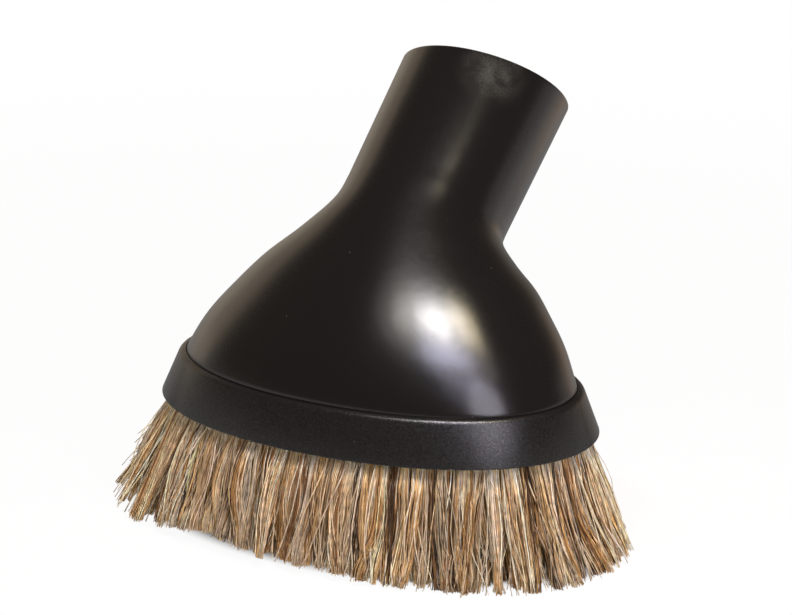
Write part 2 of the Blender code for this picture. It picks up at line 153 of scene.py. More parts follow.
# Fineness of the surfaces
AROUND_STEPS = 144
DOME_STEPS = 56
NECK_STEPS = 12
BAND_STEPS = 240
ROUNDING_STEPS = 5
LIP_STEPS = 3
SMOOTH_UP_TO = math.radians(40)
OVAL_SAMPLES = 2880
WELD_DISTANCE = 0.001 * MM
CUT_OVERRUN = 2 * MM
SEED = 11

# Worked out from the sizes above
DRAFT = math.atan2(BAND_FLARE, BAND_HEIGHT)
NECK_AXIS = Vector((0, math.sin(NECK_LEAN), math.cos(NECK_LEAN)))
NECK_DOWN = Vector((0, math.cos(NECK_LEAN), -math.sin(NECK_LEAN)))
NECK_BASE = Vector((0, NECK_BASE_BACK, NECK_BASE_HEIGHT))
MOUTH_CENTRE = NECK_BASE + NECK_AXIS * NECK_LENGTH
MOUTH_NORMAL = (NECK_AXIS * math.cos(MOUTH_SLANT) - NECK_DOWN * math.sin(MOUTH_SLANT)).normalized()
band_low, band_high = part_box("skirt_band")
STAND = Vector(((band_low.x + band_high.x) / 2, (band_low.y + band_high.y) / 2, band_low.z))


# Section of the skirt and strip: points are (outward from the foot oval, up)
def slanted(across, along):
    """A section point from its place across and down the flared direction of the hair."""
    outward = across * math.cos(DRAFT) + along * math.sin(DRAFT)
    up = across * math.sin(DRAFT) - along * math.cos(DRAFT)
    return outward, up


def slanted_at_height(across, up):
    """The section point at one height on a line down the flared direction."""
    return slanted(across, (across * math.sin(DRAFT) - up) / math.cos(DRAFT))


BAND_FOOT = BAND_LEDGE + BAND_FLARE
BAND_INNER_ACROSS = BAND_FOOT * math.cos(DRAFT) - BAND_WALL
CHANNEL_OUTER = BAND_INNER_ACROSS - CLEARANCE
CHANNEL_INNER = CHANNEL_OUTER - CHANNEL_WIDTH
PACK_OUTER = CHANNEL_OUTER - CHANNEL_SHEET - CLEARANCE
PACK_INNER = CHANNEL_INNER + CHANNEL_SHEET + CLEARANCE
LIP_TOP = CLEARANCE - CHANNEL_RECESS
LIP_BOTTOM = LIP_TOP + LIP_THICKNESS
PACK_BOTTOM = LIP_TOP + PACK_PROTRUSION
PACK_TOP = PACK_BOTTOM - PACK_HEIGHT


# Foot oval
def oval_point(turn, half_length, half_width, power):
    """A point of a superellipse, for a turn in radians from +X."""
    cosine, sine = math.cos(turn), math.sin(turn)
    x = math.copysign(abs(cosine) ** (2 / power), cosine) * half_length
    y = math.copysign(abs(sine) ** (2 / power), sine) * half_width
    return Vector((x, y, 0))


def measure_oval():
    """Fine points of the foot oval from its back round by its left end, with their normals and run lengths."""
    turns = [math.pi / 2 + 2 * math.pi * i / OVAL_SAMPLES for i in range(OVAL_SAMPLES + 1)]
    points = np.array([oval_point(turn, FOOT_HALF_LENGTH, FOOT_HALF_WIDTH, FOOT_OVAL_POWER)[:2] for turn in turns])
    shares = points / (FOOT_HALF_LENGTH, FOOT_HALF_WIDTH)
    normals = np.sign(shares) * np.abs(shares) ** (FOOT_OVAL_POWER - 1) / (FOOT_HALF_LENGTH, FOOT_HALF_WIDTH)
    normals /= np.linalg.norm(normals, axis=1, keepdims=True)
    steps = np.linalg.norm(np.diff(points, axis=0), axis=1)
    return points, normals, np.concatenate(([0.0], np.cumsum(steps)))


OVAL_POINTS, OVAL_NORMALS, OVAL_RUN = measure_oval()
OVAL_LENGTH = OVAL_RUN[-1]


def on_oval(share):
    """Points and outward normals at shares of the way round the foot oval."""
    run = np.mod(share, 1.0) * OVAL_LENGTH
    point = np.stack([np.interp(run, OVAL_RUN, OVAL_POINTS[:, axis]) for axis in range(2)], axis=-1)
    normal = np.stack([np.interp(run, OVAL_RUN, OVAL_NORMALS[:, axis]) for axis in range(2)], axis=-1)
    return point, normal


def beside_oval(share, outward, up, sideways=0.0):
    """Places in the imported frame: out from the foot oval, along it and up from the skirt's underside."""
    point, normal = on_oval(share)
    along = np.stack([-normal[..., 1], normal[..., 0]], axis=-1)
    outward, up, sideways = (np.asarray(value, float)[..., None] for value in (outward, up, sideways))
    flat = point + normal * outward + along * sideways
    return np.concatenate([flat, up + np.zeros_like(flat[..., :1])], axis=-1) + np.array(STAND)


# Building blocks
def new_piece(name, vertices, faces, look):
    """An object in the scene with this mesh and one material."""
    mesh = bpy.data.meshes.new(name)
    mesh.from_pydata(vertices, [], faces)
    mesh.materials.append(look)
    piece = bpy.data.objects.new(name, mesh)
    bpy.context.scene.collection.objects.link(piece)
    return piece


def shade(piece):
    """Smooth shading that keeps the piece's real edges crisp."""
    piece.data.shade_smooth()
    piece.data.set_sharp_from_angle(angle=SMOOTH_UP_TO)


def seat(piece, slot, *nodes):
    """The piece rides on the brush's one body and stands for its CAD nodes, which it hides. The slot is not used."""
    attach(piece, "root")
    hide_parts(*nodes)


def rounded(corners):
    """A section outline from (point, radius) corners, each corner with a radius replaced by a short arc."""
    outline = []
    for i, (corner, radius) in enumerate(corners):
        if not radius:
            outline.append(corner)
            continue
        here = Vector(corner)
        back = (Vector(corners[i - 1][0]) - here).normalized()
        ahead = (Vector(corners[(i + 1) % len(corners)][0]) - here).normalized()
        half_angle = back.angle(ahead) / 2
        centre = here + (back + ahead).normalized() * radius / math.sin(half_angle)
        reach = radius / math.tan(half_angle)
        start = here + back * reach - centre
        end = here + ahead * reach - centre
        swing = start.angle_signed(end)
        for step in range(ROUNDING_STEPS + 1):
            turned = Matrix.Rotation(-swing * step / ROUNDING_STEPS, 2) @ start
            outline.append(tuple(centre + turned))
    return outline


def bezier(start, leave, arrive, end, share):
    """The place at a share of a cubic curve. It takes single points and whole arrays of them."""
    rest = 1 - share
    return (start * rest ** 3 + leave * (3 * rest ** 2 * share)
            + arrive * (3 * rest * share ** 2) + end * share ** 3)


def eased(values, share):
    """A smooth curve through equally spaced values, level at its last one."""
    at = min(int(share * (len(values) - 1)), len(values) - 2)
    part = share * (len(values) - 1) - at
    before = values[at - 1] if at else 2 * values[0] - values[1]
    here, after = values[at], values[at + 1]
    beyond = values[min(at + 2, len(values) - 1)]
    return 0.5 * (2 * here + (after - before) * part
                  + (2 * before - 5 * here + 4 * after - beyond) * part ** 2
                  + (3 * here - before - 3 * after + beyond) * part ** 3)


# Node and colour helpers
def linear(hex_colour):
    """An sRGB hex colour as linear red, green, blue and a full alpha."""
    values = [int(hex_colour[i:i + 2], 16) / 255 for i in (1, 3, 5)]
    return (*(v / 12.92 if v <= 0.04045 else ((v + 0.055) / 1.055) ** 2.4 for v in values), 1.0)


def add(tree, kind, settings=None, sockets=None):
    """Adds a node, sets its properties, and sets its inputs, or links them where the value is a socket."""
    node = tree.nodes.new(kind)
    for key, value in (settings or {}).items():
        setattr(node, key, value)
    for key, value in (sockets or {}).items():
        if isinstance(value, bpy.types.NodeSocket):
            tree.links.new(value, node.inputs[key])
        else:
            node.inputs[key].default_value = value
    return node


def new_look(name, **sockets):
    """A material with one Principled shader, and its node tree."""
    look = bpy.data.materials.new(name)
    look.use_nodes = True
    shader = look.node_tree.nodes["Principled BSDF"]
    for key, value in sockets.items():
        shader.inputs[key.replace("_", " ")].default_value = value
    return look, look.node_tree, shader


# Looks
# A noise texture's values lie mostly between these two.
NOISE_LOW, NOISE_HIGH = 0.3, 0.7
# Middle and reach of the grey mark on the neck's upper side, just below its lip: partly a rubbed scuff, partly painted
# sheen
RUB_AND_SHEEN_PLACE = (9.3 * MM, 17.9 * MM, 91.4 * MM)
RUB_AND_SHEEN_REACH = 9 * MM


def moulded_black_abs(name, colour, smooth_gloss, dull_gloss, rim_sheen, peel_depth, grain_depth, speck_strength,
                      rub_and_sheen=0.0):
    """Black ABS, injection moulded: a satin skin with mottled gloss, faint orange peel and a fine spark grain.

    The grain breaks up the highlights and shades its own hollows, so the sheen is duller and weaker towards the rims.
    A few dust grains show as pale dots, and the neck is grey near its upper lip: partly a rubbed scuff, partly painted
    sheen.
    """
    look, tree, shader = new_look(name, IOR=1.54)
    place = add(tree, "ShaderNodeTexCoord").outputs["Object"]
    rim = add(tree, "ShaderNodeLayerWeight", None, {"Blend": 0.5})
    sheen = add(tree, "ShaderNodeMapRange", None,
                {"Value": rim.outputs["Facing"], "From Min": 0.25, "From Max": 0.6,
                 "To Min": 0.5, "To Max": rim_sheen})
    # The spark grain and the mottle are drawn about three times as coarse as real ones, so that they show.
    mottle_size, peel_size, grain_size, dust_pitch = 0.5 * MM, 3 * MM, 0.32 * MM, 6 * MM
    mottle = add(tree, "ShaderNodeTexNoise", None, {"Vector": place, "Scale": 1 / mottle_size, "Detail": 3.0})
    gloss = add(tree, "ShaderNodeMapRange", None,
                {"Value": mottle.outputs["Fac"], "From Min": NOISE_LOW, "From Max": NOISE_HIGH,
                 "To Min": smooth_gloss, "To Max": dull_gloss})
    peel = add(tree, "ShaderNodeTexNoise", None, {"Vector": place, "Scale": 1 / peel_size, "Detail": 1.0})
    grain = add(tree, "ShaderNodeTexNoise", None, {"Vector": place, "Scale": 1 / grain_size, "Detail": 2.0})
    specks = add(tree, "ShaderNodeMapRange", None,
                 {"Value": grain.outputs["Fac"], "From Min": NOISE_LOW, "From Max": NOISE_HIGH,
                  "To Min": 1 - speck_strength, "To Max": 1 + speck_strength})
    broken_sheen = add(tree, "ShaderNodeMath", {"operation": "MULTIPLY"},
                       {0: sheen.outputs["Result"], 1: specks.outputs["Result"]})
    tree.links.new(broken_sheen.outputs[0], shader.inputs["Specular IOR Level"])
    rim_gloss = add(tree, "ShaderNodeMapRange", None,
                    {"Value": rim.outputs["Facing"], "From Min": 0.2, "From Max": 0.85,
                     "To Min": gloss.outputs["Result"], "To Max": 0.45})
    peel_bump = add(tree, "ShaderNodeBump", None,
                    {"Height": peel.outputs["Fac"], "Strength": 1.0, "Distance": peel_depth})
    grain_bump = add(tree, "ShaderNodeBump", None,
                     {"Height": grain.outputs["Fac"], "Strength": 1.0, "Distance": grain_depth,
                      "Normal": peel_bump.outputs["Normal"]})
    # Each dust grain is a dot in the middle of its Voronoi cell. It fades out at 0.012 to 0.024 of the pitch, so at
    # about a tenth of a millimetre.
    dust = add(tree, "ShaderNodeTexVoronoi", None, {"Vector": place, "Scale": 1 / dust_pitch})
    speck = add(tree, "ShaderNodeMapRange", None,
                {"Value": dust.outputs["Distance"], "From Min": 0.012, "From Max": 0.024,
                 "To Min": 0.4, "To Max": 0.0})
    pale = speck.outputs["Result"]
    # The grey mark by the neck's lip is partly a rubbed scuff and partly painted sheen, mixed into the base colour.
    if rub_and_sheen:
        from_rub_and_sheen = add(tree, "ShaderNodeVectorMath", {"operation": "DISTANCE"}, {0: place, 1: RUB_AND_SHEEN_PLACE})
        patches = add(tree, "ShaderNodeMapRange", None,
                      {"Value": peel.outputs["Fac"], "From Min": NOISE_LOW, "From Max": NOISE_HIGH,
                       "To Min": 0.4 * rub_and_sheen, "To Max": 1.5 * rub_and_sheen})
        streaks = add(tree, "ShaderNodeMapRange", None,
                      {"Value": grain.outputs["Fac"], "From Min": NOISE_LOW, "From Max": NOISE_HIGH,
                       "To Min": 0.4, "To Max": 1.6})
        near = add(tree, "ShaderNodeMapRange", {"interpolation_type": "SMOOTHSTEP"},
                   {"Value": from_rub_and_sheen.outputs["Value"], "From Min": 0.0, "From Max": RUB_AND_SHEEN_REACH,
                    "To Min": patches.outputs["Result"], "To Max": 0.0})
        rub_and_sheen_mark = add(tree, "ShaderNodeMath", {"operation": "MULTIPLY"},
                        {0: near.outputs["Result"], 1: streaks.outputs["Result"]})
        pale = add(tree, "ShaderNodeMath", {"operation": "MAXIMUM"}, {0: pale, 1: rub_and_sheen_mark.outputs[0]}).outputs[0]
    # The base colour: black, paler at the dust dots and at the mark by the neck's lip, which is partly painted sheen.
    tint = add(tree, "ShaderNodeMix", {"data_type": "RGBA"}, {0: pale, 6: linear(colour), 7: linear("#87857c")})
    tree.links.new(tint.outputs[2], shader.inputs["Base Color"])
    tree.links.new(rim_gloss.outputs["Result"], shader.inputs["Roughness"])
    tree.links.new(grain_bump.outputs["Normal"], shader.inputs["Normal"])
    return look


def galvanised_steel():
    """Zinc-dipped strip steel: a pale grey metal with soft spangle in its gloss and colour."""
    look, tree, shader = new_look("galvanised_strip_steel", Metallic=1.0)
    place = add(tree, "ShaderNodeTexCoord").outputs["Object"]
    spangle_size = 2.5 * MM
    spangle = add(tree, "ShaderNodeTexVoronoi", None, {"Vector": place, "Scale": 1 / spangle_size})
    tint = add(tree, "ShaderNodeMix", {"data_type": "RGBA"},
               {0: spangle.outputs["Distance"], 6: linear("#c9ccd0"), 7: linear("#a9adb2")})
    gloss = add(tree, "ShaderNodeMapRange", None,
                {"Value": spangle.outputs["Distance"], "To Min": 0.3, "To Max": 0.5})
    tree.links.new(tint.outputs[2], shader.inputs["Base Color"])
    tree.links.new(gloss.outputs["Result"], shader.inputs["Roughness"])
    return look


def drawn_steel():
    """Bright drawn wire: darker grey steel, drawn smooth, with fine lines that are coarser here than real ones."""
    look, tree, shader = new_look("drawn_steel_wire", Metallic=1.0)
    place = add(tree, "ShaderNodeTexCoord").outputs["Object"]
    line_size = 0.3 * MM
    lines = add(tree, "ShaderNodeTexNoise", None, {"Vector": place, "Scale": 1 / line_size, "Detail": 3.0})
    gloss = add(tree, "ShaderNodeMapRange", None, {"Value": lines.outputs["Fac"], "To Min": 0.2, "To Max": 0.45})
    tint = add(tree, "ShaderNodeMix", {"data_type": "RGBA"},
               {0: lines.outputs["Fac"], 6: linear("#9a9b9c"), 7: linear("#b4b5b6")})
    tree.links.new(tint.outputs[2], shader.inputs["Base Color"])
    tree.links.new(gloss.outputs["Result"], shader.inputs["Roughness"])
    return look


def natural_horsehair():
    """Undyed mixed horsehair: straw, gold, chestnut, grey and near black, a tone for each hair.

    Each hair's tone is stored on its mesh. A slow change along the length, partly of tone and partly painted patchy
    light and shade, keeps long hairs from looking dyed.
    """
    look, tree, shader = new_look("natural_horsehair", IOR=1.55, Roughness=0.5, Specular_IOR_Level=0.35)
    tone = add(tree, "ShaderNodeAttribute", {"attribute_name": "hair_tone"})
    place = add(tree, "ShaderNodeTexCoord").outputs["Object"]
    # The streaks are partly a change of tone and partly painted patchy light and shade along the hairs.
    streak_size = 1.4 * MM
    streaks = add(tree, "ShaderNodeTexNoise", None, {"Vector": place, "Scale": 1 / streak_size, "Detail": 2.0})
    light = add(tree, "ShaderNodeMapRange", None,
                {"Value": streaks.outputs["Fac"], "From Min": NOISE_LOW, "From Max": NOISE_HIGH,
                 "To Min": 0.77, "To Max": 1.26})
    tint = add(tree, "ShaderNodeVectorMath", {"operation": "SCALE"},
               {0: tone.outputs["Color"], "Scale": light.outputs["Result"]})
    tree.links.new(tint.outputs["Vector"], shader.inputs["Base Color"])
    return look


# Dome and neck
def neck_side(sign, along):
    """A point of the neck's outline in the mirror plane: sign -1 on its upper side, 1 on its under side."""
    radius = NECK_BASE_RADIUS + (MOUTH_RADIUS - NECK_BASE_RADIUS) * along / NECK_LENGTH
    return NECK_BASE + NECK_AXIS * along + NECK_DOWN * (sign * radius)


def shell_ring(front, back, half_length, power):
    """A flat oval ring between a front and a back point of the mirror plane."""
    centre = (front + back) / 2
    reach = (back - front) / 2
    ring = []
    for step in range(AROUND_STEPS):
        unit = oval_point(2 * math.pi * step / AROUND_STEPS, 1, 1, power)
        ring.append(centre + Vector((half_length * unit.x, 0, 0)) + reach * unit.y)
    return ring


def shell_rings():
    """Rings of the outer face, from the hidden foot over the dome and up the neck past the mouth."""
    foot_front = Vector((0, -FOOT_HALF_WIDTH, BAND_HEIGHT))
    foot_back = Vector((0, FOOT_HALF_WIDTH, BAND_HEIGHT))
    drop = Vector((0, 0, FOOT_BOTTOM - BAND_HEIGHT))
    rings = [shell_ring(foot_front + drop, foot_back + drop, FOOT_HALF_LENGTH, FOOT_OVAL_POWER)]
    neck_front = neck_side(-1, 0)
    neck_back = neck_side(1, BACK_CORNER_ALONG_NECK)
    front_leave = foot_front + Vector((0, math.sin(FRONT_LEAN), math.cos(FRONT_LEAN))) * FRONT_RISE
    back_leave = foot_back + Vector((0, 0, BACK_RISE))
    front_arrive = neck_front - NECK_AXIS * FRONT_RUN_IN
    back_arrive = neck_back - NECK_AXIS * BACK_RUN_IN
    for step in range(DOME_STEPS + 1):
        share = step / DOME_STEPS
        front = bezier(foot_front, front_leave, front_arrive, neck_front, share)
        back = bezier(foot_back, back_leave, back_arrive, neck_back, share)
        half_length = NECK_BASE_RADIUS + (FOOT_HALF_LENGTH - NECK_BASE_RADIUS) * eased(SHOULDER_SHARES, share)
        rings.append(shell_ring(front, back, half_length, FOOT_OVAL_POWER + (2 - FOOT_OVAL_POWER) * share))
    slant_reach = MOUTH_RADIUS * math.tan(MOUTH_SLANT)
    mouth_front = neck_side(-1, NECK_LENGTH - slant_reach + CUT_OVERRUN)
    mouth_back = neck_side(1, NECK_LENGTH + slant_reach + CUT_OVERRUN)
    for step in range(1, NECK_STEPS + 1):
        share = step / NECK_STEPS
        half_length = NECK_BASE_RADIUS + (MOUTH_RADIUS - NECK_BASE_RADIUS) * share
        rings.append(shell_ring(neck_front.lerp(mouth_front, share), neck_back.lerp(mouth_back, share),
                                half_length, 2))
    return rings


def make_dome_and_neck(look):
    """The moulded shell: a skin thickened inward, its mouth trimmed flat and its lip rounded."""
    rings = shell_rings()
    faces = []
    for level in range(len(rings) - 1):
        low, high = level * AROUND_STEPS, (level + 1) * AROUND_STEPS
        for step in range(AROUND_STEPS):
            beside = (step + 1) % AROUND_STEPS
            faces.append((low + step, low + beside, high + beside, high + step))
    shell = new_piece("dome_and_neck", [point + STAND for ring in rings for point in ring], faces, look)
    wall = shell.modifiers.new("wall", "SOLIDIFY")
    wall.thickness = SHELL_WALL
    wall.offset = -1
    bpy.context.view_layer.update()
    graph = bpy.context.evaluated_depsgraph_get()
    thick = bpy.data.meshes.new_from_object(shell.evaluated_get(graph))
    shell.modifiers.remove(wall)
    work = bmesh.new()
    work.from_mesh(thick)
    geometry = work.verts[:] + work.edges[:] + work.faces[:]
    trimmed = bmesh.ops.bisect_plane(work, geom=geometry, dist=WELD_DISTANCE, plane_co=MOUTH_CENTRE + STAND,
                                     plane_no=MOUTH_NORMAL, clear_outer=True)
    rims = [item for item in trimmed["geom_cut"] if isinstance(item, bmesh.types.BMEdge)]
    bmesh.ops.bridge_loops(work, edges=rims)
    bmesh.ops.bevel(work, geom=rims, offset=LIP_ROUNDING, segments=LIP_STEPS, profile=0.5, affect="EDGES")
    bmesh.ops.recalc_face_normals(work, faces=work.faces)
    work.to_mesh(shell.data)
    work.free()
    bpy.data.meshes.remove(thick)
    shade(shell)
    return shell


# Skirt band
def make_skirt(look):
    """The flared band round the hair: a rounded ledge under the dome, a sloping face and a rounded hem."""
    land_bottom = (BAND_INNER_ACROSS - CLEARANCE * math.cos(DRAFT)) / math.sin(DRAFT)
    lip_edge = BAND_INNER_ACROSS - LIP_REACH
    section = rounded([
        ((BAND_FOOT, 0), BAND_BOTTOM_ROUNDING),
        ((BAND_LEDGE, BAND_HEIGHT), BAND_TOP_ROUNDING),
        ((BAND_SEAM_GAP, BAND_HEIGHT), BAND_SEAM_ROUNDING),
        ((BAND_SEAM_GAP, BAND_HEIGHT - BAND_SEAM_DEPTH), 0),
        ((CLEARANCE, land_bottom), 0),
        (slanted(BAND_INNER_ACROSS, LIP_TOP), 0),
        (slanted(lip_edge, LIP_TOP), 0),
        (slanted(lip_edge, LIP_BOTTOM), 0),
        (slanted_at_height(BAND_INNER_ACROSS, 0), 0),
    ])
    shares = np.arange(BAND_STEPS)[:, None] / BAND_STEPS
    outward, up = np.array(section).T
    vertices = beside_oval(shares + np.zeros(len(section)), outward, up).reshape(-1, 3)
    faces = []
    for step in range(BAND_STEPS):
        here, beside = step * len(section), (step + 1) % BAND_STEPS * len(section)
        for i in range(len(section)):
            after = (i + 1) % len(section)
            faces.append((here + i, beside + i, beside + after, here + after))
    skirt = new_piece("flared_skirt", vertices.tolist(), faces, look)
    shade(skirt)
    return skirt


# Hair
# Tones of the undyed mix, with how often each is drawn
TONES = (
    ("#f2d1a5", 0.27),
    ("#ddb27b", 0.22),
    ("#c09158", 0.16),
    ("#8e643c", 0.10),
    ("#4d321a", 0.07),
    ("#37291b", 0.04),
    ("#cbb598", 0.06),
    ("#f6e1c2", 0.08),
)
# How much paler than its own tone a hair is drawn from root to tip: 1 keeps the tone. The strong paling at the root is
# painted light that lifts the shade under the skirt's hem, and the hair also grows paler towards its tips.
ROOT_LIGHT_AND_TIP_SHARES = (0, 0.125, 0.25, 0.375, 0.75, 1)
ROOT_LIGHT_AND_TIP_GAINS = (4, 3, 1.4, 1.1, 1.22, 1.5)
# How the tones spread: wisps in brightness, hairs in brightness, and hairs in each of red, green and blue
WISP_SHINE_SPREAD, HAIR_SHINE_SPREAD, HAIR_HUE_SPREAD = 0.15, 0.17, 0.018
# The share of hairs that take their wisp's tone, and the palest that any hair gets
WISP_TONE_SHARE = 0.48
PALEST = 0.9
# Painted light and shade round the brush: the hair is painted paler at its left end and darker along its front
PAINTED_LIGHT_SHARES = (0.22, 0.3, 0.36, 0.42, 0.5, 0.58, 0.66, 0.76, 0.84)
PAINTED_LIGHT_GAINS = (1.12, 1.14, 1.04, 0.77, 0.78, 0.9, 0.75, 0.95, 0.9)
# The glued root pack's tone, and the places in TONES that stray hairs draw from
ROOT_TONE = "#2c241d"
PALE_TONES = (0, 6, 7)


def tip_reach(share, row_share):
    """How far out from the foot oval a hair's tip lies: more in the outer rows and at the ends of the oval."""
    normal = on_oval(share)[1]
    to_end = normal[..., 0] ** 2
    to_left = np.clip(-normal[..., 0], 0, 1) ** 2
    outer = TIP_SPREAD_SIDE + (TIP_SPREAD_END - TIP_SPREAD_SIDE) * to_end + LEFT_SPLAY * to_left
    outer += np.interp(share, SPLAY_SHARES, SPLAY_EXTRA)
    return TIP_SPREAD_INNER + (outer - TIP_SPREAD_INNER) * row_share


def draw_wisps(chance):
    """The wisps of hair: where each is rooted, how its tip sways, how it bows and which tone it favours.

    Neighbouring wisps lean together in locks.
    """
    share = (np.arange(WISPS) + chance.uniform(0, 1, WISPS)) / WISPS
    row = chance.uniform(0, 1, WISPS)
    lock = np.floor(share * LOCKS).astype(int)
    to_lock = ((lock + 0.5) / LOCKS - share) * OVAL_LENGTH * LOCK_PULL
    lean = chance.normal(0, LOCK_SWAY, LOCKS)
    return {
        "share": share,
        "row": row,
        "grip": chance.uniform(*WISP_GRIPS, WISPS),
        "pull": chance.uniform(*WISP_PULLS, WISPS),
        "sideways": to_lock + lean[lock] + chance.normal(0, WISP_SWAY, WISPS),
        "outward": chance.normal(0, WISP_PROUD, WISPS),
        "bow_side": chance.normal(0, WISP_BOW, WISPS),
        "bow_out": chance.normal(0, WISP_BOW, WISPS),
        "wave": chance.normal(0, WISP_BOW / 3, WISPS),
        "lift": chance.uniform(0, 1, WISPS) ** LIFT_POWER,
        "tone": chance.choice(len(TONES), WISPS, p=[weight for _, weight in TONES]),
        "shine": np.exp(chance.normal(0, WISP_SHINE_SPREAD, WISPS)),
    }


def hair_lines(first, last, wisps, chance):
    """Centre lines of one bunch's hairs, as hairs x rings x 3, with the tone and the thickness of each."""
    count = HAIRS_PER_BUNCH
    share = chance.uniform(first, last, count)
    row = chance.uniform(0, 1, count)
    away = (wisps["share"] - share[:, None] + 0.5) % 1.0 - 0.5
    pack_width = PACK_OUTER - PACK_INNER
    distance = np.hypot(away * OVAL_LENGTH, (wisps["row"] - row[:, None]) * pack_width)
    wisp = np.argmin(distance / wisps["grip"], axis=1)
    stray = chance.uniform(0, 1, count) < STRAY_SHARE

    def of_wisp(key, for_stray=0.0):
        """Each hair's value from its wisp, or the other value where the hair is a stray."""
        return np.where(stray, for_stray, wisps[key][wisp])

    pull = of_wisp("pull")
    own_out = tip_reach(share, row)
    wisp_out = tip_reach(wisps["share"][wisp], wisps["row"][wisp])
    tip_side = (away[np.arange(count), wisp] * OVAL_LENGTH * pull + of_wisp("sideways")
                + chance.normal(0, 1, count) * np.where(stray, STRAY_SWAY, HAIR_JITTER))
    tip_out = (own_out + (wisp_out - own_out) * pull + of_wisp("outward")
               + chance.normal(0, 1, count) * np.where(stray, WISP_PROUD, HAIR_JITTER))
    furthest = tip_reach(share, 1.0) + TIP_SPREAD_PROUD
    tip_out = np.minimum(tip_out, furthest)

    root_row = PACK_MARGIN_SHARE + (1 - 2 * PACK_MARGIN_SHARE) * row
    root_out, root_up = slanted(PACK_INNER + pack_width * root_row, PACK_BOTTOM - PACK_PROTRUSION)
    normal = on_oval(share)[1]
    # Some of the outer hair at the oval's left end stands off the floor, and so does the worn hair at the front.
    to_left = np.clip(-3 * normal[:, 0] - 2, 0, 1) * np.clip(2 * row - 0.4, 0, 1)
    lift = LEFT_LIFT * to_left * of_wisp("lift", chance.uniform(0, 1, count))
    lift = lift + np.interp(share, WORN_SHARES, WORN_TIPS)
    short = chance.uniform(0, 1, count) < SHORT_HAIR_SHARE
    loss = np.where(short, chance.exponential(SHORT_HAIR_LOSS, count), chance.uniform(0, TIP_LOSS, count))
    floor = -HAIR_FALL + FLOOR_CLEARANCE + np.minimum(loss, HAIR_FALL / 3) + lift
    reach = (tip_out - root_out) ** 2 + tip_side ** 2
    fall = np.sqrt(np.maximum(HAIR_LENGTH ** 2 - reach, (HAIR_LENGTH / 2) ** 2))
    tip_up = np.maximum(root_up - fall, floor)

    root = np.stack([np.zeros(count), root_out, root_up], axis=1)
    tip = np.stack([tip_side, tip_out, tip_up], axis=1)
    down = np.array([0.0, *slanted(0.0, 1.0)])
    length = np.linalg.norm(tip - root, axis=1, keepdims=True)
    lean = chance.normal(0, HAIR_LEAN_SPREAD, (count, 3))
    leave = root + (down + lean) * length * ROOT_STEER_SHARE
    arrive = tip - ((tip - leave) / length * TIP_STEER_GAIN + lean[:, ::-1]) * length * TIP_STEER_SHARE
    along = np.linspace(0, 1, HAIR_RINGS)[None, :, None]
    lines = bezier(root[:, None], leave[:, None], arrive[:, None], tip[:, None], along)
    arch = np.sin(math.pi * along[..., 0]) ** 2
    own_bow = chance.normal(0, 1, (2, count, 1)) * np.where(stray, STRAY_BOW_GAIN * HAIR_BOW, HAIR_BOW)[:, None]
    own_wave = chance.normal(0, HAIR_BOW / 2, (count, 1))
    lines[..., 0] += (of_wisp("bow_side")[:, None] + own_bow[0]) * arch
    lines[..., 0] += (of_wisp("wave")[:, None] + own_wave) * np.sin(3 * math.pi * along[..., 0])
    end_loss = END_BOW_LOSS * row * normal[:, 0] ** 2
    lines[..., 1] += (of_wisp("bow_out")[:, None] + own_bow[1] - end_loss[:, None]) * arch
    below_hem = np.clip(-lines[..., 2] / HEM_BULGE_DEPTH, 0, 1)
    bulge = HEM_BULGE * row * (1 - HEM_BULGE_END_LOSS * normal[:, 0] ** 2)
    lines[..., 1] += bulge[:, None] * below_hem * (1 - along[..., 0])
    lines[..., 1] = np.minimum(lines[..., 1], furthest[:, None])
    inside_skirt = slanted_at_height(BAND_INNER_ACROSS - LIP_REACH - HAIR_RADII[1], lines[..., 2])[0]
    lines[..., 1] = np.where(lines[..., 2] > 0, np.minimum(lines[..., 1], inside_skirt), lines[..., 1])
    lines[..., 2] = np.maximum(lines[..., 2], -HAIR_FALL + FLOOR_CLEARANCE)
    places = beside_oval(share[:, None] + np.zeros(HAIR_RINGS), lines[..., 1], lines[..., 2], lines[..., 0])

    palette = np.array([linear(colour)[:3] for colour, _ in TONES])
    own_tone = chance.choice(len(TONES), count, p=[weight for _, weight in TONES])
    tone_of = np.where(chance.uniform(0, 1, count) < WISP_TONE_SHARE, wisps["tone"][wisp], own_tone)
    tone_of = np.where(stray, chance.choice(PALE_TONES, count), tone_of)
    # Each hair's tone takes its wisp's brightness and the painted light and shade for its place round the brush.
    tone = palette[tone_of] * (wisps["shine"][wisp] * np.interp(share, PAINTED_LIGHT_SHARES, PAINTED_LIGHT_GAINS))[:, None]
    tone = tone * np.exp(chance.normal(0, HAIR_SHINE_SPREAD, (count, 1)))
    tone = tone * np.exp(chance.normal(0, HAIR_HUE_SPREAD, (count, 3)))
    radii = chance.uniform(*HAIR_RADII, count) * np.where(stray, STRAY_RADIUS_GAIN, 1.0)
    return places, np.clip(tone, 0, PALEST), radii


